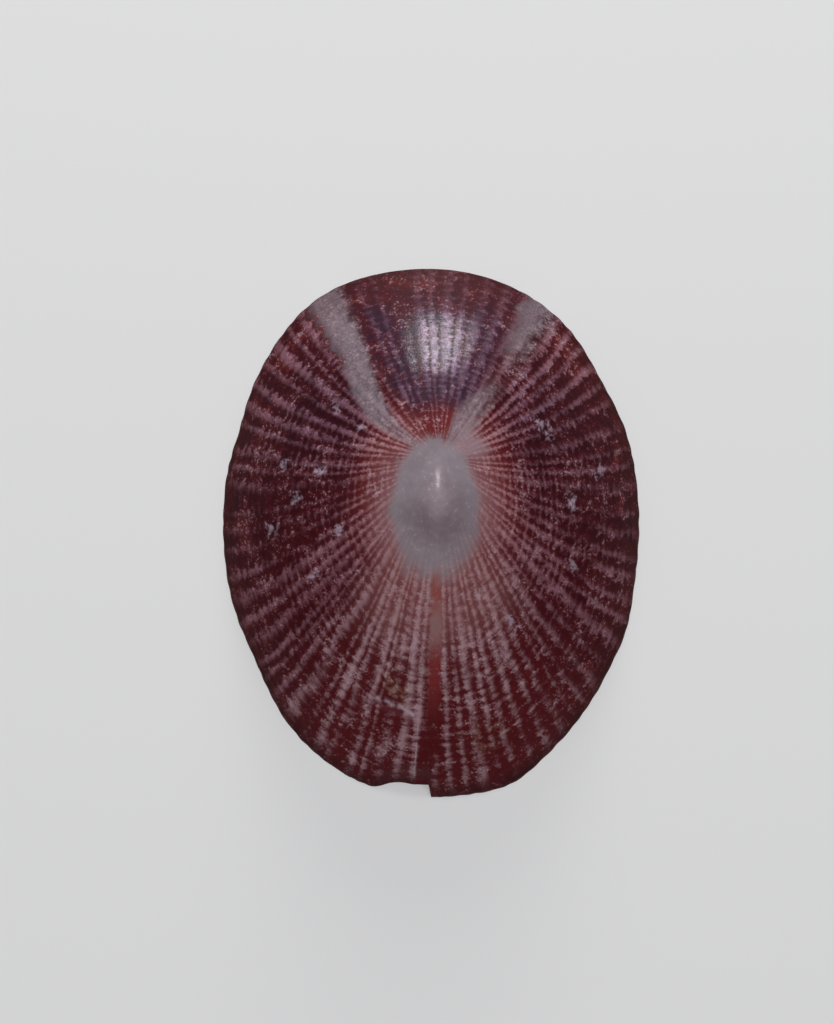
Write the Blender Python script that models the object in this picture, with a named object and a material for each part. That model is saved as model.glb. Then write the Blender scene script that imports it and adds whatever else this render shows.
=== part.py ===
"""Limpet shell: one thin ribbed cap grown as a single piece, resting on its rim.

+Y points to the front (the fuller end), +X to the right and +Z up. The origin is
under the middle of the shell, in the plane of the rim.
"""
import math

import bmesh
import bpy
from mathutils import Vector

MM = 0.001

# Overall form, in millimetres
LENGTH = 5.98
WIDTH = 4.70
DOME_HEIGHT = 1.38
DOME_FULLNESS = 2.15
RIM_WIDTH = 0.13
PEAK_WALL = 0.26

# Egg shape of the margin: the front is a little wider than the back
FRONT_WIDENING = 0.032
END_FULLNESS = 0.046

# Swells and flats of the margin: direction and spread in degrees, share of the radius
MARGIN_SWELLS = (
    (116, 15, 0.025),
    (42, 11, -0.020),
    (152, 9, -0.015),
    (216, 13, -0.023),
    (288, 8, 0.022),
    (334, 9, 0.013),
)

# Step in the back margin, where growth stopped for a while
NOTCH_START = 256
NOTCH_FULL = 263
NOTCH_END = 269.5
NOTCH_DEPTH = 0.046
NOTCH_ONSET = 0.86

# Growth starts at the beak, ahead of the middle, and each later ring is centred further back
BEAK = Vector((0.10, 0.85))
BEND = 1.6

# Smooth knob behind the beak, in millimetres
KNOB_CENTRE = Vector((0.07, 0.30))
KNOB_SPREAD = Vector((0.31, 0.40))
KNOB_HEIGHT = 0.22

# Ribs, one crest and one groove each, and the ledges left by pauses in growth
RIBS = 72
RIB_HEIGHT = 0.016
RIB_START = 0.12
RIB_FULL = 0.55
RIB_UNEVENNESS = 0.3
LEDGES = (0.53, 0.70, 0.83, 0.93)
LEDGE_HEIGHT = 0.010
LEDGE_STEP = 0.014

# Mesh: a column for each crest and groove, and rings from the beak to the rim and back
COLUMNS = 2 * RIBS
OUTER_RINGS = (0.08, 0.13, 0.19, 0.26, 0.34, 0.43, 0.53, 0.544, 0.62, 0.70, 0.714,
               0.77, 0.83, 0.844, 0.89, 0.93, 0.944, 1.0)
INNER_RINGS = (1.0, 0.93, 0.80, 0.62, 0.44, 0.27, 0.12)
BEAK_TIP = 0.004
SLOPE_STEP = 0.002
SHARP_ANGLE = 50

SHELL_COLOUR = (0.13, 0.028, 0.035, 1.0)
SHELL_ROUGHNESS = 0.3


def clear_scene():
    for leftover in list(bpy.data.objects):
        bpy.data.objects.remove(leftover, do_unlink=True)


def ramp(start, full, value):
    """Smooth rise from 0 at start to 1 at full."""
    share = min(max((value - start) / (full - start), 0.0), 1.0)
    return share * share * (3 - 2 * share)


def turn_between(first, second):
    """Smaller angle from one direction to another, in degrees."""
    return (first - second + 180) % 360 - 180


def column_angle(column):
    return 2 * math.pi * column / COLUMNS


def margin_swell(direction, growth):
    """Share of the radius by which the ring departs from a plain egg shape."""
    swell = 0.0
    for centre, spread, height in MARGIN_SWELLS:
        swell += height * math.exp(-((turn_between(direction, centre) / spread) ** 2))
    notch = ramp(NOTCH_START, NOTCH_FULL, direction) if direction < NOTCH_END else 0.0
    return swell * growth * growth - NOTCH_DEPTH * notch * ramp(NOTCH_ONSET, 1.0, growth)


def margin_point(angle, growth):
    """Point of a growth ring scaled up to the size of the margin."""
    sine = math.sin(angle)
    widening = 1 + FRONT_WIDENING * sine + END_FULLNESS * sine * sine
    point = Vector((WIDTH / 2 * math.cos(angle) * widening, LENGTH / 2 * sine))
    direction = math.degrees(math.atan2(point.y, point.x)) % 360
    return point * (1 + margin_swell(direction, growth))


def surface_point(growth, angle, inset=0.0, dome=DOME_HEIGHT, knob=KNOB_HEIGHT):
    """Point of the smooth form, in millimetres; growth is 0 at the beak and 1 at the rim."""
    centre = BEAK * max(1 - growth, 0.0) ** BEND
    margin = margin_point(angle, growth)
    place = centre + margin * growth * (1 - inset / margin.length)
    height = dome * (1 - growth ** DOME_FULLNESS)
    off_x = (place.x - KNOB_CENTRE.x) / KNOB_SPREAD.x
    off_y = (place.y - KNOB_CENTRE.y) / KNOB_SPREAD.y
    height += knob * math.exp(-(off_x * off_x + off_y * off_y))
    return Vector((place.x, place.y, height))


def surface_normal(growth, angle):
    """Outward direction of the smooth outside."""
    upward = surface_point(growth, angle) - surface_point(growth - SLOPE_STEP, angle)
    around = surface_point(growth, angle + SLOPE_STEP) - surface_point(growth, angle - SLOPE_STEP)
    return upward.cross(around).normalized()


def ledge_relief(growth):
    """Slow rise towards each pause in growth, then a short step down past it."""
    last_foot = RIB_START
    for ledge in LEDGES:
        if last_foot < growth <= ledge:
            return LEDGE_HEIGHT * (growth - last_foot) / (ledge - last_foot)
        last_foot = ledge + LEDGE_STEP
    return 0.0


def rib_relief(growth, column):
    """Height of a rib's crest, or 0 in a groove, at one column of the mesh."""
    if column % 2:
        return 0.0
    unevenness = RIB_UNEVENNESS * math.sin(2.4 * column) * math.sin(0.31 * column)
    return RIB_HEIGHT * (1 + unevenness) * ramp(RIB_START, RIB_FULL, growth)


def outer_point(growth, column):
    """Point of the ribbed outside. Relief at the margin stays level with the rim."""
    angle = column_angle(column)
    normal = surface_normal(growth, angle)
    if growth == 1:
        normal = Vector((normal.x, normal.y, 0)).normalized()
    relief = rib_relief(growth, column) + ledge_relief(growth)
    return (surface_point(growth, angle) + normal * relief) * MM


def inner_point(growth, column):
    """Point of the smooth inside: the same form made smaller, with no knob."""
    angle = column_angle(column)
    return surface_point(growth, angle, RIM_WIDTH, DOME_HEIGHT - PEAK_WALL, 0.0) * MM


def shell_material():
    material = bpy.data.materials.new("shell")
    material.use_nodes = True
    surface = material.node_tree.nodes["Principled BSDF"]
    surface.inputs["Base Color"].default_value = SHELL_COLOUR
    surface.inputs["Roughness"].default_value = SHELL_ROUGHNESS
    surface.inputs["Metallic"].default_value = 0.0
    return material


def grow_ring(shell, column_of, edges, place, growth):
    """Extrude the open edge of the shell and set each new vertex by its column."""
    grown = bmesh.ops.extrude_edge_only(shell, edges=edges)["geom"]
    vertices = [item for item in grown if isinstance(item, bmesh.types.BMVert)]
    for vertex in vertices:
        vertex.co = place(growth, vertex[column_of])
    edges = [item for item in grown if isinstance(item, bmesh.types.BMEdge)]
    return vertices, [edge for edge in edges if edge.is_boundary]


def first_ring(shell, column_of):
    """The smallest ring round the beak, closed by a fan of faces."""
    bmesh.ops.create_circle(shell, cap_ends=True, cap_tris=True, segments=COLUMNS, radius=MM)
    beak = next(vertex for vertex in shell.verts if not vertex.is_boundary)
    for vertex in shell.verts:
        share = math.atan2(vertex.co.y, vertex.co.x) / (2 * math.pi)
        vertex[column_of] = round(share * COLUMNS) % COLUMNS
    for vertex in shell.verts:
        growth = BEAK_TIP if vertex is beak else OUTER_RINGS[0]
        vertex.co = outer_point(growth, vertex[column_of])
    return [edge for edge in shell.edges if edge.is_boundary]


def grow_shell():
    """Lay the shell down ring by ring, as the animal does, from the beak to the rim,
    and then line it from the rim back up to the inside of the beak."""
    shell = bmesh.new()
    column_of = shell.verts.layers.int.new("column")
    edges = first_ring(shell, column_of)
    for growth in OUTER_RINGS[1:]:
        edges = grow_ring(shell, column_of, edges, outer_point, growth)[1]
    for growth in INNER_RINGS:
        edges = grow_ring(shell, column_of, edges, inner_point, growth)[1]
    tip = grow_ring(shell, column_of, edges, inner_point, BEAK_TIP)[0]
    bmesh.ops.pointmerge(shell, verts=tip, merge_co=inner_point(BEAK_TIP, 0))

    bmesh.ops.triangulate(shell, faces=shell.faces)
    bmesh.ops.recalc_face_normals(shell, faces=shell.faces)
    mesh = bpy.data.meshes.new("shell")
    shell.to_mesh(mesh)
    shell.free()
    return mesh


def main():
    clear_scene()
    parts = bpy.data.collections.new("limpet_shell")
    bpy.context.scene.collection.children.link(parts)
    mesh = grow_shell()
    mesh.materials.append(shell_material())
    mesh.shade_smooth()
    mesh.set_sharp_from_angle(angle=math.radians(SHARP_ANGLE))
    shell = bpy.data.objects.new("shell", mesh)
    parts.objects.link(shell)


main()
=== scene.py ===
import math

import bpy
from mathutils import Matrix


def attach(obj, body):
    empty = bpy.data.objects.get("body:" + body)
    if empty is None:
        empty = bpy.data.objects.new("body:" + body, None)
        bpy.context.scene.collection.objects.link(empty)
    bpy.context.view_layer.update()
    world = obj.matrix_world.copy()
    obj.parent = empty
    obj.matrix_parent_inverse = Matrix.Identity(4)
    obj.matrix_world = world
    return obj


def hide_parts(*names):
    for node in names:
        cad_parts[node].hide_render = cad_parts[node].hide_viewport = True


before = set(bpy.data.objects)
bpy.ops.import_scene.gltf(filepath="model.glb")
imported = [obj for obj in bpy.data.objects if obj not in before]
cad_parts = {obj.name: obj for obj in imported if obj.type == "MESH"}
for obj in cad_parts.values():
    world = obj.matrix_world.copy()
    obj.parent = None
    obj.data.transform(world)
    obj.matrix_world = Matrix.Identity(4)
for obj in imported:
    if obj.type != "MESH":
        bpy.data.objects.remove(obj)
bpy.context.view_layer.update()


# The limpet shell is one thin cap of shell, laid down ring by ring at its margin
# by the animal. Fine ribs run from the smooth peak to the margin, and growth
# threads cross them. It isn't fixed to anything, and rests on its rim.

MM = 0.001

SHELL_SIZES = {
    "Length": 5.997,
    "Width": 4.714,
    "Dome Height": 1.38,
    "Dome Fullness": 2.15,
    "Knob Height": 0.22,
    "Rim Width": 0.13,
    "Peak Wall": 0.26,
    "Rib Height": 0.010,
    "Thread Height": 0.003,
    "Ledge Height": 0.005,
    "Relief Scale": 1.0,
}
SHELL_COUNTS = {"Ribs": 72, "Threads": 34}
STRIPS_PER_RIB = 7
PEAK_RINGS = 12
OUTER_RINGS = 166
INNER_RINGS = 20
PEAK_GROWTH = 0.15
MERGE_DISTANCE = 1e-5
RIM_LEVEL = 0.001

FRONT_WIDENING = 0.032
END_FULLNESS = 0.046
# Swells and flats of the margin: direction and spread in degrees, share of the radius
MARGIN_SWELLS = (
    (116, 15, 0.025),
    (42, 11, -0.020),
    (152, 9, -0.015),
    (216, 13, -0.023),
    (288, 8, 0.022),
    (334, 9, 0.013),
)
NOTCH_START, NOTCH_FULL, NOTCH_END = 256, 263, 269.5
NOTCH_DEPTH = 0.046
NOTCH_ONSET = 0.86
BEAK_X, BEAK_Y, BEND = 0.10, 0.85, 1.6
KNOB_X, KNOB_Y = 0.07, 0.30
KNOB_WIDTH, KNOB_LENGTH = 0.31, 0.40
RIB_START, RIB_FULL = 0.12, 0.55
LEDGES = (0.53, 0.70, 0.83, 0.93)
LEDGE_STEP = 0.014
# Smooth band down the middle of the back, with no ribs: direction and half its width
BAND_TURN, BAND_SPREAD = 269.5, 3.2


class Reading:
    """A number that varies over the shell, as a socket of a node tree."""

    def __init__(self, socket):
        self.socket = socket

    def apply(self, operation, *others):
        tree = self.socket.id_data
        node = tree.nodes.new("ShaderNodeMath")
        node.operation = operation
        for slot, value in zip(node.inputs, (self, *others)):
            feed(slot, value)
        return Reading(node.outputs[0])

    def __add__(self, other):
        return self.apply("ADD", other)

    def __sub__(self, other):
        return self.apply("SUBTRACT", other)

    def __rsub__(self, other):
        return self.apply("MULTIPLY_ADD", -1.0, other)

    def __mul__(self, other):
        return self.apply("MULTIPLY", other)

    def __truediv__(self, other):
        return self.apply("DIVIDE", other)

    def __pow__(self, other):
        return self.apply("POWER", other)

    __radd__ = __add__
    __rmul__ = __mul__


def feed(slot, value):
    """Link a reading or a socket to an input, or set the input to a plain value."""
    if isinstance(value, Reading):
        value = value.socket
    if isinstance(value, bpy.types.NodeSocket):
        value.id_data.links.new(value, slot)
    else:
        slot.default_value = value


def ramp(start, full, reading):
    """Smooth rise from 0 at start to 1 at full, or fall where full is the smaller."""
    node = reading.socket.id_data.nodes.new("ShaderNodeMapRange")
    node.interpolation_type = "SMOOTHSTEP"
    for slot, value in zip(node.inputs, (reading, start, full, 0.0, 1.0)):
        feed(slot, value)
    return Reading(node.outputs[0])


def turn_from(direction, centre):
    """Signed angle in degrees from a direction to a centre."""
    return (direction - centre).apply("WRAP", 180, -180)


def sector(direction, centre, half, soft):
    """1 within half degrees of a direction, fading to 0 over a soft edge."""
    return ramp(half + soft, half - soft, turn_from(direction, centre).apply("ABSOLUTE"))


def bell(distance, spread):
    """Bell curve, 1 in its middle."""
    return ((distance / spread) ** 2 * -1).apply("EXPONENT")


def joined(tree, x, y, z):
    node = tree.nodes.new("ShaderNodeCombineXYZ")
    for slot, value in zip(node.inputs, (x, y, z)):
        feed(slot, value)
    return node.outputs[0]


def noise(tree, place, scale, detail=1.0):
    """Soft random reading between about -1 and 1."""
    node = tree.nodes.new("ShaderNodeTexNoise")
    feed(node.inputs["Vector"], place)
    node.inputs["Scale"].default_value = scale
    node.inputs["Detail"].default_value = detail
    return (Reading(node.outputs[0]) - 0.5) * 4


def chance(tree, first, second=0.0):
    """Random number from 0 to 1 for each pair of whole numbers."""
    node = tree.nodes.new("ShaderNodeTexWhiteNoise")
    node.noise_dimensions = "2D"
    feed(node.inputs["Vector"], joined(tree, first, second, 0.0))
    return Reading(node.outputs["Value"])


def margin_point(turn, growth, size):
    """X and Y of a growth ring scaled up to the size of the margin, in millimetres."""
    sine, cosine = turn.apply("SINE"), turn.apply("COSINE")
    widening = sine * FRONT_WIDENING + sine * sine * END_FULLNESS + 1
    x = size["Width"] * 0.5 * cosine * widening
    y = size["Length"] * 0.5 * sine
    direction = y.apply("ARCTAN2", x).apply("DEGREES").apply("WRAP", 360, 0)
    swell = 0.0
    for centre, spread, height in MARGIN_SWELLS:
        swell = bell(turn_from(direction, centre), spread) * height + swell
    notch = ramp(NOTCH_START, NOTCH_FULL, direction) * direction.apply("LESS_THAN", NOTCH_END)
    depth = notch * ramp(NOTCH_ONSET, 1.0, growth) * NOTCH_DEPTH
    share = swell * growth * growth - depth + 1
    return x * share, y * share


def rib_lines(tree, place, turn, growth, counts):
    """Where a point lies among the ribs and threads, each whole number being a crest."""
    compass = joined(tree, turn.apply("COSINE"), turn.apply("SINE"), 0.0)
    spacing = noise(tree, compass, 7.0, 0.0) * 0.28
    sway = noise(tree, place, 1.6) * 0.12
    waver = noise(tree, place, 1.3) * 0.2
    return turn / math.tau * counts["Ribs"] + spacing + sway, growth * counts["Threads"] + waver


def crest(line, sharpness):
    """Rounded crest at each whole number, 1 at its top and 0 in the groove."""
    wave = (line * math.tau).apply("COSINE") * 0.5 + 0.5
    return wave ** sharpness


def grow_tree():
    """Geometry nodes that lay down the shell from the beak to the rim and back inside."""
    tree = bpy.data.node_groups.new("limpet_growth", "GeometryNodeTree")
    tree.interface.new_socket("Shell", in_out="OUTPUT", socket_type="NodeSocketGeometry")
    for name in SHELL_SIZES:
        tree.interface.new_socket(name, in_out="INPUT", socket_type="NodeSocketFloat")
    for name in (*SHELL_COUNTS, "Columns", "Outer Rings", "Inner Rings"):
        tree.interface.new_socket(name, in_out="INPUT", socket_type="NodeSocketInt")
    tree.interface.new_socket("Material", in_out="INPUT", socket_type="NodeSocketMaterial")
    given = tree.nodes.new("NodeGroupInput").outputs
    size = {name: Reading(given[name]) for name in SHELL_SIZES}
    counts = {name: Reading(given[name]) for name in SHELL_COUNTS}

    columns, outer, inner = (Reading(given[n]) for n in ("Columns", "Outer Rings", "Inner Rings"))
    grid = tree.nodes.new("GeometryNodeMeshGrid")
    feed(grid.inputs["Vertices X"], columns + 1)
    feed(grid.inputs["Vertices Y"], outer + inner + 2)
    spot = tree.nodes.new("ShaderNodeSeparateXYZ")
    feed(spot.inputs[0], tree.nodes.new("GeometryNodeInputPosition").outputs[0])
    turn = (Reading(spot.outputs[0]) + 0.5) * math.tau
    row = ((Reading(spot.outputs[1]) + 0.5) * (outer + inner + 1)).apply("ROUND")
    inside = row.apply("GREATER_THAN", outer + 0.5)
    peak_part = row.apply("MINIMUM", PEAK_RINGS) * (PEAK_GROWTH / PEAK_RINGS)
    side_part = (row - PEAK_RINGS).apply("MAXIMUM", 0.0) / (outer - PEAK_RINGS) * (1 - PEAK_GROWTH)
    outer_growth = (peak_part + side_part).apply("MINIMUM", 1.0)
    inner_growth = 1 - (row - outer - 1) / inner
    growth = outer_growth + (inner_growth - outer_growth) * inside

    kept = tree.nodes.new("GeometryNodeCaptureAttribute")
    feed(kept.inputs["Geometry"], grid.outputs["Mesh"])
    for name, reading in (("turn", turn), ("growth", growth), ("inside", inside)):
        kept.capture_items.new("FLOAT", name)
        feed(kept.inputs[name], reading)
    turn, growth, inside = (Reading(kept.outputs[n]) for n in ("turn", "growth", "inside"))

    facing_out = tree.nodes.new("GeometryNodeFlipFaces")
    feed(facing_out.inputs["Mesh"], kept.outputs["Geometry"])
    chart = tree.nodes.new("GeometryNodeStoreNamedAttribute")
    chart.data_type = "FLOAT2"
    chart.domain = "CORNER"
    chart.inputs["Name"].default_value = "growth_map"
    feed(chart.inputs["Geometry"], facing_out.outputs[0])
    feed(chart.inputs["Value"], joined(tree, turn / math.tau, growth + (1 - growth) * 2 * inside, 0.0))

    margin_x, margin_y = margin_point(turn, growth, size)
    radius = (margin_x * margin_x + margin_y * margin_y).apply("SQRT")
    inset = 1 - inside * size["Rim Width"] / radius
    lead = (1 - growth).apply("MAXIMUM", 0.0) ** BEND
    x = lead * BEAK_X + margin_x * growth * inset
    y = lead * BEAK_Y + margin_y * growth * inset
    off_x, off_y = (x - KNOB_X) / KNOB_WIDTH, (y - KNOB_Y) / KNOB_LENGTH
    knob = ((off_x * off_x + off_y * off_y) * -1).apply("EXPONENT") * size["Knob Height"]
    dome = (size["Dome Height"] - inside * size["Peak Wall"]) * (1 - growth ** size["Dome Fullness"])
    height = dome + knob * (1 - inside)
    smooth = tree.nodes.new("GeometryNodeSetPosition")
    feed(smooth.inputs["Geometry"], chart.outputs[0])
    feed(smooth.inputs["Position"], joined(tree, x, y, height))

    place = tree.nodes.new("GeometryNodeInputPosition").outputs[0]
    rib_line, thread_line = rib_lines(tree, place, turn, growth, counts)
    rib_number = (rib_line + 0.5).apply("FLOOR").apply("FLOORED_MODULO", counts["Ribs"])
    strength = chance(tree, rib_number) * 0.6 + 0.7
    rib = crest(rib_line, 0.8) * strength
    thread = crest(thread_line, 1.6)
    band = ramp(BAND_SPREAD * 0.6, BAND_SPREAD, turn_from(turn.apply("DEGREES"), BAND_TURN).apply("ABSOLUTE"))
    worn_front = sector(turn.apply("DEGREES"), 90, 22, 8)
    worn_edge = 1 - ramp(0.93, 1.0, growth) * 0.5
    relief = rib * size["Rib Height"] * ramp(RIB_START, RIB_FULL, growth) * band * worn_edge * (1 - worn_front * 0.8)
    bead = thread * size["Thread Height"] * (rib * 0.7 + 0.3) * ramp(0.2, 0.35, growth)
    relief += bead * band * (1 - worn_front * 0.85)
    pause = growth + noise(tree, place, 0.9) * 0.008
    unevenness = ramp(-0.5, 0.9, noise(tree, place, 0.8)) * (1 - worn_front * 0.9)
    last_foot = RIB_START
    for ledge in LEDGES:
        rise = (pause - last_foot) / (ledge - last_foot)
        step = rise * rise.apply("GREATER_THAN", 0.0) * rise.apply("LESS_THAN", 1.0)
        relief += step * unevenness * size["Ledge Height"]
        last_foot = ledge + LEDGE_STEP
    raised = tree.nodes.new("GeometryNodeCaptureAttribute")
    raised.capture_items.new("FLOAT", "relief")
    feed(raised.inputs["Geometry"], smooth.outputs[0])
    feed(raised.inputs["relief"], relief * (1 - inside))

    closed = tree.nodes.new("GeometryNodeMergeByDistance")
    feed(closed.inputs["Geometry"], raised.outputs["Geometry"])
    closed.inputs["Distance"].default_value = MERGE_DISTANCE
    outward = tree.nodes.new("ShaderNodeSeparateXYZ")
    feed(outward.inputs[0], tree.nodes.new("GeometryNodeInputNormal").outputs[0])
    spot = tree.nodes.new("ShaderNodeSeparateXYZ")
    feed(spot.inputs[0], place)
    lift = Reading(raised.outputs["relief"]) * size["Relief Scale"]
    up, level = Reading(outward.outputs[2]), Reading(spot.outputs[2])
    side_lift = lift / (1 - up * up * level.apply("LESS_THAN", RIM_LEVEL)).apply("SQRT")
    rise = (lift * up).apply("MAXIMUM", level * -1) * level.apply("GREATER_THAN", RIM_LEVEL)
    sides = (side_lift * Reading(socket) for socket in outward.outputs[:2])
    ribbed = tree.nodes.new("GeometryNodeSetPosition")
    feed(ribbed.inputs["Geometry"], closed.outputs[0])
    feed(ribbed.inputs["Offset"], joined(tree, *sides, rise))

    sized = tree.nodes.new("GeometryNodeTransform")
    feed(sized.inputs["Geometry"], ribbed.outputs[0])
    sized.inputs["Scale"].default_value = (MM, MM, MM)
    shaded = tree.nodes.new("GeometryNodeSetShadeSmooth")
    feed(shaded.inputs["Geometry"], sized.outputs[0])
    real = tree.nodes.new("GeometryNodeRealizeInstances")
    feed(real.inputs["Geometry"], shaded.outputs[0])
    coloured = tree.nodes.new("GeometryNodeSetMaterial")
    feed(coloured.inputs["Geometry"], real.outputs[0])
    feed(coloured.inputs["Material"], given["Material"])
    feed(tree.nodes.new("NodeGroupOutput").inputs[0], coloured.outputs[0])
    return tree


def paint(red, green, blue):
    """Colour from display values of 0 to 255."""
    return tuple(((v / 255 + 0.055) / 1.055) ** 2.4 if v > 10 else v / 255 / 12.92 for v in (red, green, blue)) + (1.0,)


def tinted(share, under, over):
    """Colour over another by a share from 0 to 1."""
    tree = share.socket.id_data
    node = tree.nodes.new("ShaderNodeMix")
    node.data_type = "RGBA"
    feed(node.inputs[0], share)
    feed(node.inputs[6], under)
    feed(node.inputs[7], over)
    return node.outputs[2]


def zone(growth, start, end, soft):
    """1 between two stages of growth, with soft edges."""
    return ramp(start - soft, start + soft, growth) * ramp(end + soft, end - soft, growth)


def growth_place(tree, round_share, growth, across, along):
    """Place for a pattern that follows the ribs and closes on itself all the way round."""
    reach = SHELL_COUNTS["Ribs"] / math.tau * across
    turn = round_share * math.tau
    return joined(tree, turn.apply("COSINE") * reach, turn.apply("SINE") * reach, growth * along)


# Whitish scuffs on the outside: direction, growth, spread in degrees
SCUFFS = (
    (32, 0.61, 5.0),
    (6, 0.66, 3.5),
    (15, 0.82, 2.2),
    (181, 0.76, 2.4),
    (201, 0.61, 2.0),
    (191, 0.46, 2.6),
    (163, 0.56, 2.2),
    (173, 0.65, 2.0),
    (140, 0.44, 2.6),
    (137, 0.60, 2.4),
    (162, 0.73, 2.0),
    (312, 0.55, 1.8),
    (346, 0.68, 2.4),
)


# Worn grey peak, an oval seen from above: its middle and half sizes in millimetres
CAP_X, CAP_Y = 0.04, 0.30
CAP_HALF_WIDTH, CAP_HALF_LENGTH = 0.483, 0.767


def shell_finish():
    """Maroon shell with pale speckled ribs, two pale rays in front and a smooth grey peak."""
    material = bpy.data.materials.new("limpet_shell")
    material.use_nodes = True
    tree = material.node_tree
    surface = tree.nodes["Principled BSDF"]
    chart = tree.nodes.new("ShaderNodeUVMap")
    chart.uv_map = "growth_map"
    chart_parts = tree.nodes.new("ShaderNodeSeparateXYZ")
    feed(chart_parts.inputs[0], chart.outputs[0])
    round_share, along = (Reading(socket) for socket in chart_parts.outputs[:2])
    direction = round_share * 360
    growth = along - (along - 1).apply("MAXIMUM", 0.0) * 2
    inside = along.apply("GREATER_THAN", 1.0005)
    scaled = tree.nodes.new("ShaderNodeVectorMath")
    scaled.operation = "SCALE"
    feed(scaled.inputs[0], tree.nodes.new("ShaderNodeTexCoord").outputs["Object"])
    scaled.inputs["Scale"].default_value = 1 / MM
    place = scaled.outputs[0]
    rib_line, thread_line = rib_lines(tree, place, round_share * math.tau, growth, SHELL_COUNTS)
    rib_number = (rib_line + 0.5).apply("FLOOR").apply("FLOORED_MODULO", SHELL_COUNTS["Ribs"])
    thread_number = (thread_line + 0.5).apply("FLOOR")
    cell = chance(tree, rib_number, thread_number)
    rib_luck = chance(tree, rib_number, 7.0)
    coarse = noise(tree, place, 1.1, 2.0)
    patchy = noise(tree, place, 3.5, 3.0)
    fine = noise(tree, place, 14.0, 3.0)
    grain = noise(tree, place, 40.0, 2.0)
    streak = noise(tree, growth_place(tree, round_share, growth, 0.9, 5.0), 1.0, 3.0)
    dash = noise(tree, growth_place(tree, round_share, growth, 0.8, 80.0), 1.0, 1.0)

    front = sector(direction + patchy * 3 + fine * 2, 88, 23, 6) * ramp(0.26, 0.40, growth + coarse * 0.03)
    back = sector(direction, 272, 48, 16)
    shoulders = sector(direction, 140, 16, 14) + sector(direction, 38, 14, 14)
    flanks = sector(direction, 15, 20, 10) + sector(direction, 156, 30, 12)
    flanks *= ramp(0.32, 0.46, growth)
    ripe = growth + coarse * 0.03 + patchy * 0.03 - back * 0.05
    early = ramp(0.48, 0.26, growth)

    window = tinted(ramp(0.22, 0.52, ripe), paint(94, 27, 28), paint(54, 7, 14))
    window = tinted(back * 0.62, window, paint(80, 18, 22))
    window = tinted(flanks * 0.7, window, paint(42, 7, 16))
    window = tinted(shoulders * zone(growth, 0.42, 0.84, 0.06) * 0.6, window, paint(36, 8, 18))
    young_front = front * ramp(0.78, 0.92, growth + patchy * 0.05)
    window = tinted(front, window, paint(42, 19, 37))
    window = tinted(young_front, window, paint(56, 15, 23))
    edge = ramp(0.94, 0.985, growth + fine * 0.012) * (0.9 - sector(direction, 100, 60, 20) * 0.45)
    window = tinted(edge, window, paint(48, 12, 14))

    ridge = tinted(ramp(0.22, 0.52, ripe), paint(152, 108, 112), paint(122, 80, 90))
    ridge = tinted(back * 0.8, ridge, paint(156, 126, 131))
    ridge = tinted(shoulders * zone(growth, 0.48, 0.80, 0.10) * 0.55, ridge, paint(104, 78, 98))
    ridge = tinted(flanks * 0.5, ridge, paint(106, 68, 80))
    ridge = tinted(front, ridge, paint(96, 70, 88))
    ridge = tinted(young_front, ridge, paint(99, 62, 72))
    # Painted highlight: a bluish tint of reflected light on the ribs of the front patch.
    painted_highlight_patch = sector(direction, 89, 11, 5) * zone(growth, 0.52, 0.80, 0.05)
    painted_highlight_colour = tinted(ramp(0.35, 0.65, rib_luck), paint(96, 102, 146), paint(136, 102, 138))
    ridge = tinted(painted_highlight_patch * 0.8, ridge, painted_highlight_colour)
    ridge = tinted(edge, ridge, tinted(back, paint(86, 44, 47), paint(58, 22, 24)))

    rib = crest(rib_line + fine * (0.16 - back * 0.07) + grain * 0.06, 1.0)
    thread = crest(thread_line + fine * 0.14, 1.4)
    luck = rib_luck * 0.52 - 0.26 + streak * 0.34
    speckle = fine * (0.28 - back * 0.08) + grain * 0.22 + dash * (back * 0.14 + 0.20) + patchy * 0.18
    lattice = (1 - rib) * (1 - back) * (flanks * 0.16 + 0.34)
    beads = thread * (cell * (0.20 - back * 0.06) + lattice + 0.12) - 0.25
    red_root = sector(direction, 93, 20, 8) * ramp(0.45, 0.30, growth)
    pause = growth + coarse * 0.008 + fine * 0.004
    # Painted highlight: faint pale lines along the growth ledges.
    ledge_highlights = 0.0
    for ledge in LEDGES:
        ledge_highlights = bell(pause - ledge, 0.006) + ledge_highlights
    ledge_highlights *= ramp(-0.2, 0.6, patchy) * (back * 0.3 + 0.12)
    lightening = ramp(0.96, 0.34, growth) * (back * 0.16 + 0.34) - 0.24
    late = ramp(0.70, 0.90, growth) * (1 - back) * (1 - front)
    rib_gain = early * 0.22 + shoulders * 0.42 + late * 0.62 - back * 0.12 + 0.90
    depth = rib * rib_gain + luck + speckle + beads + ledge_highlights
    depth += lightening + back * 0.10 - early * 0.10 - shoulders * 0.12 - late * 0.30 - red_root * 0.72
    depth += sector(direction, 318, 34, 14) * zone(growth, 0.40, 0.70, 0.08) * 0.16 - flanks * 0.15
    depth -= sector(direction, 104, 9, 6) * ramp(0.45, 0.55, growth) * 0.24
    pale = ramp(-0.08, 1.52, depth)
    window = tinted(ramp(-0.6, 0.6, patchy * 0.5 + fine * 0.5) * 0.4, window, paint(88, 18, 24))
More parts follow.
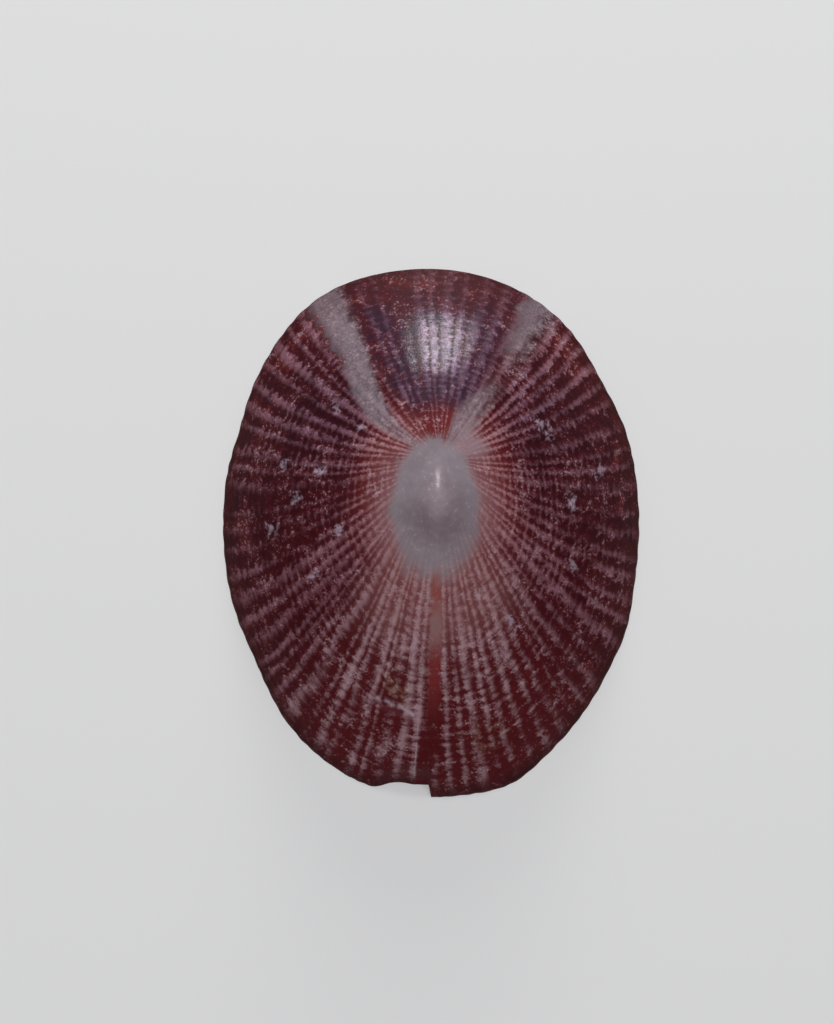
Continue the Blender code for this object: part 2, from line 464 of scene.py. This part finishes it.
    # Painted glow: light shining through the thin shell near the margin, as a brighter red.
    painted_glow = ramp(0.0, 0.7, patchy + fine * 0.3) * zone(growth, 0.88, 0.96, 0.03) * (1 - back)
    window = tinted(painted_glow * 0.35, window, paint(104, 36, 30))
    ridge = tinted(ramp(0.1, -0.7, fine * 0.5 + dash * 0.5 + grain * 0.4) * 0.5, ridge, window)
    skin = tinted(pale, window, ridge)
    spot = tree.nodes.new("ShaderNodeSeparateXYZ")
    feed(spot.inputs[0], place)
    across = (Reading(spot.outputs[0]) - CAP_X) / CAP_HALF_WIDTH
    lengthwise = (Reading(spot.outputs[1]) - CAP_Y) / CAP_HALF_LENGTH
    from_cap = (across * across + lengthwise * lengthwise).apply("SQRT")
    haze = ramp(1.80, 1.02, from_cap + patchy * 0.08) * (0.58 - sector(direction, 90, 78, 24) * 0.34) * (1 - red_root)
    haze = haze.apply("MAXIMUM", back * ramp(0.62, 0.40, growth + patchy * 0.02) * 0.38)
    haze_colour = tinted(back, paint(134, 100, 103), paint(132, 86, 86))
    skin = tinted(haze, skin, haze_colour)
    scuffed = 0.0
    for spot_turn, spot_growth, spot_spread in SCUFFS:
        away = turn_from(direction, spot_turn) / spot_spread
        beyond = (growth - spot_growth) / 0.032
        scuffed = ((away * away + beyond * beyond) * -1).apply("EXPONENT") + scuffed
    scuff = ramp(0.15, 1.35, scuffed * 0.75 + fine * 0.8 + grain * 0.4) * ramp(0.02, 0.40, scuffed)
    skin = tinted(scuff * 0.75, skin, paint(156, 138, 152))

    left_centre = ramp(0.80, 0.25, growth) * 12.0 + 118.4
    left_half = ramp(0.74, 0.42, growth) * 1.8 + 4.5
    left_off = turn_from(direction + fine * 1.0 + grain * 0.4 + patchy, left_centre).apply("ABSOLUTE")
    left_ray = ramp(2.0, -2.0, left_off - left_half)
    right_centre = ramp(0.5, 0.25, growth) * 3 + 60
    right_off = turn_from(direction + fine * 2.2 + grain * 1.2 + patchy * 2, right_centre).apply("ABSOLUTE")
    right_half = ramp(0.55, 0.25, growth) * 7.0 + 3.6
    right_gap = zone(growth + patchy * 0.05 + streak * 0.04, 0.50, 0.74, 0.07) * 0.92
    right_streaks = 1 - ramp(0.56, 0.44, growth) * ramp(0.3, -0.9, streak + fine * 0.7) * 0.6
    right_ray = ramp(2.6, -2.2, right_off - right_half) * (1 - right_gap) * right_streaks * 0.85
    ray_tone = ramp(-0.7, 0.9, grain * 0.6 + fine * 0.4 + streak * 0.3)
    ray_colour = tinted(ray_tone, paint(99, 84, 91), paint(130, 115, 121))
    left_ray *= 0.92 - ramp(0.44, 0.28, growth) * 0.30 - ramp(0.82, 1.0, growth) * 0.22
    skin = tinted(left_ray.apply("MAXIMUM", right_ray * 0.92), skin, ray_colour)
    right_root = sector(direction + patchy * 4, 44, 17, 10)
    right_root *= ramp(0.32, 0.21, growth + patchy * 0.05 + fine * 0.03)
    right_root *= 0.82 - ramp(0.2, 0.9, fine * 0.6 + grain * 0.5) * 0.3
    skin = tinted(right_root, skin, paint(134, 112, 117))

    band_centre = 270.6 - ramp(0.70, 0.95, growth) * 2.8
    band_half = ramp(0.66, 0.40, growth) * 0.9 + 2.7
    band_off = turn_from(direction + fine * 0.7 + grain * 0.4, band_centre).apply("ABSOLUTE")
    band = ramp(0.9, -0.9, band_off - band_half) * ramp(0.25, 0.31, growth)
    band_colour = tinted(ramp(0.46, 0.57, growth + fine * 0.02), paint(124, 88, 88), paint(104, 31, 31))
    band_colour = tinted(ramp(0.58, 0.76, growth + fine * 0.02), band_colour, paint(72, 11, 15))
    band_colour = tinted(zone(growth + fine * 0.03, 0.29, 0.40, 0.04) * 0.85, band_colour, paint(124, 55, 47))
    skin = tinted(band * (0.97 - ramp(0.1, 0.9, speckle) * 0.25), skin, band_colour)
    broken = ramp(-0.9, 0.3, patchy + fine * 0.6)
    crack = bell(turn_from(direction + fine * 0.4, 265.0), 0.22) * zone(growth, 0.75, 0.96, 0.01)
    bend = ((direction - 255).apply("MAXIMUM", 0.0) / 10) ** 2 * 0.035
    arc = bell(growth - 0.702 - bend - fine * 0.004, 0.0075) * zone(direction, 247, 264.5, 2.0)
    below_arc = zone(growth - bend, 0.715, 0.735, 0.010) * zone(direction, 247, 264.5, 2.0)
    skin = tinted(below_arc * 0.5, skin, paint(92, 44, 50))
    arc *= ramp(-1.1, 0.5, patchy + fine * 0.6)
    skin = tinted((crack * 0.8 * broken + arc).apply("MINIMUM", 0.92), skin, paint(162, 140, 147))
    stain = zone(growth + fine * 0.03, 0.62, 0.70, 0.02) * sector(direction + patchy * 2, 256, 6, 3)
    stain += zone(growth + fine * 0.03, 0.79, 0.86, 0.02) * sector(direction + patchy * 2, 290, 4, 3)
    skin = tinted(stain * ramp(-0.4, 0.7, patchy + fine) * 0.35, skin, paint(134, 104, 84))
    # Pale flecks all over: partly real dust and flecks, partly painted glints.
    dust_and_glints = ramp(0.28, 1.15, grain * 0.70 + fine * 0.5 + patchy * 0.40) * (0.50 - band * 0.25) * (1 - edge * 0.6)
    skin = tinted(dust_and_glints, skin, paint(166, 142, 150))

    cap_drift = patchy * 0.10 + fine * 0.05 + grain * 0.05 + streak * back * 0.10
    cap = ramp(1.12 + back * 0.13, 0.86 - back * 0.08, from_cap + cap_drift)
    cap_colour = tinted(ramp(-0.8, 0.8, patchy * 0.7 + fine * 0.2), paint(113, 102, 108), paint(127, 116, 122))
    cap_colour = tinted(ramp(0.45, 0.95, grain * 0.8 + fine * 0.5) * 0.5, cap_colour, paint(160, 150, 150))
    skin = tinted(cap * (0.95 - back * 0.08), skin, cap_colour)

    lining = tinted(ramp(0.80, 0.97, growth + patchy * 0.02), paint(176, 158, 156), paint(120, 58, 58))
    scar = zone(growth + patchy * 0.01, 0.5, 0.6, 0.02) * ramp(20, 40, turn_from(direction, 90).apply("ABSOLUTE"))
    lining = tinted(scar * 0.35, lining, paint(140, 116, 112))
    skin = tinted(inside, skin, lining)
    feed(surface.inputs["Base Color"], skin)

    rubbed_centre = ramp(0.78, 0.55, growth) * 5.0 + 85.5
    rubbed = sector(direction + patchy * 2, rubbed_centre, 12, 6) * zone(growth + patchy * 0.02, 0.52, 0.80, 0.06)
    rubbed *= (ramp(-0.05, 0.30, rib) * 0.62 + 0.36) * (fine * 0.3 + grain * 0.30 + 0.72)
    polish = rubbed.apply("MAXIMUM", cap * 0.8).apply("MAXIMUM", inside * 0.8)
    feed(surface.inputs["Roughness"], 0.50 - polish * 0.2 + fine * 0.05)
    surface.inputs["Specular IOR Level"].default_value = 0.08
    feed(surface.inputs["Coat Weight"], polish.apply("MINIMUM", 1.0))
    surface.inputs["Coat Roughness"].default_value = 0.22
    surface.inputs["Coat IOR"].default_value = 1.38
    bump = tree.nodes.new("ShaderNodeBump")
    bump.inputs["Distance"].default_value = 0.0022 * MM
    bump.inputs["Strength"].default_value = 1.0
    feed(bump.inputs["Height"], (fine * 0.5 + grain * 0.35) * (1 - cap * 0.62) * (1 - inside * 0.8) * (1 - front * 0.4))
    feed(surface.inputs["Normal"], bump.outputs[0])
    feed(surface.inputs["Coat Normal"], bump.outputs[0])
    return material


def grow_shell():
    """Run the growth nodes once and keep the result as a plain mesh."""
    tree = grow_tree()
    seed = bpy.data.objects.new("shell_seed", bpy.data.meshes.new("shell_seed"))
    bpy.context.scene.collection.objects.link(seed)
    modifier = seed.modifiers.new("growth", "NODES")
    modifier.node_group = tree
    given = dict(SHELL_SIZES)
    given.update(SHELL_COUNTS)
    given["Columns"] = SHELL_COUNTS["Ribs"] * STRIPS_PER_RIB
    given["Outer Rings"] = OUTER_RINGS
    given["Inner Rings"] = INNER_RINGS
    given["Material"] = shell_finish()
    for item in tree.interface.items_tree:
        if item.in_out == "INPUT":
            modifier[item.identifier] = given[item.name]
    seed.update_tag()
    depsgraph = bpy.context.evaluated_depsgraph_get()
    mesh = bpy.data.meshes.new_from_object(seed.evaluated_get(depsgraph), depsgraph=depsgraph)
    mesh.name = "limpet_shell"
    bpy.data.objects.remove(seed, do_unlink=True)
    shell = bpy.data.objects.new("limpet_shell", mesh)
    bpy.context.scene.collection.objects.link(shell)
    return shell


limpet_shell = grow_shell()
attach(limpet_shell, "root")
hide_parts("shell")


# The floor is a plain pale sheet, much larger than the shell, that the shell rests on.

FLOOR_SIZE = 120 * MM

floor_material = bpy.data.materials.new("pale_floor")
floor_material.use_nodes = True
floor_material.node_tree.nodes["Principled BSDF"].inputs["Base Color"].default_value = (0.68, 0.67, 0.66, 1)
floor_material.node_tree.nodes["Principled BSDF"].inputs["Roughness"].default_value = 0.8
bpy.ops.mesh.primitive_plane_add(size=FLOOR_SIZE, location=(0, 0, -0.002 * MM))
floor = bpy.context.object
floor.name = "floor"
floor.data.materials.append(floor_material)


# Soft boxes light the shell from the front and from above, and the camera looks
# straight down on it.

VIEW_CENTRE = (-0.16 * MM, 0.24 * MM)
VIEW_HEIGHT = 11.636 * MM
CAMERA_DISTANCE = 65 * MM
SENSOR = 36.0

world = bpy.data.worlds.new("studio")
bpy.context.scene.world = world
world.use_nodes = True
sky = world.node_tree.nodes["Background"]
sky.inputs["Color"].default_value = (0.95, 0.97, 1.0, 1)
heading = world.node_tree.nodes.new("ShaderNodeSeparateXYZ")
feed(heading.inputs[0], world.node_tree.nodes.new("ShaderNodeTexCoord").outputs["Generated"])
feed(sky.inputs["Strength"], ramp(0.45, 0.9, Reading(heading.outputs[2])) * 1.31 + 0.10)


def softbox(name, turn, rise, distance, width, height, power):
    """Area light aimed at the shell, placed by its turn and rise in degrees."""
    light = bpy.data.lights.new(name, "AREA")
    light.shape = "RECTANGLE"
    light.size = width
    light.size_y = height
    light.energy = power
    lamp = bpy.data.objects.new(name, light)
    turn, rise = math.radians(turn), math.radians(rise)
    level = math.cos(rise)
    lamp.location = (distance * math.cos(turn) * level, distance * math.sin(turn) * level, distance * math.sin(rise))
    lamp.rotation_euler = (math.pi / 2 - rise, 0, turn + math.pi / 2)
    lamp.visible_camera = False
    bpy.context.scene.collection.objects.link(lamp)
    return lamp


softbox("key_softbox", 87, 13, 60 * MM, 25 * MM, 20 * MM, 0.020)
softbox("small_lamp", 90, 42, 60 * MM, 5 * MM, 6 * MM, 0.006)

camera_data = bpy.data.cameras.new("camera")
camera_data.sensor_width = SENSOR
camera_data.lens = SENSOR * CAMERA_DISTANCE / VIEW_HEIGHT
camera_data.clip_start = 1 * MM
camera_data.clip_end = 1.0
camera = bpy.data.objects.new("camera", camera_data)
camera.location = (VIEW_CENTRE[0], VIEW_CENTRE[1], CAMERA_DISTANCE)
bpy.context.scene.collection.objects.link(camera)
bpy.context.scene.camera = camera
bpy.context.scene.view_settings.view_transform = "Standard"
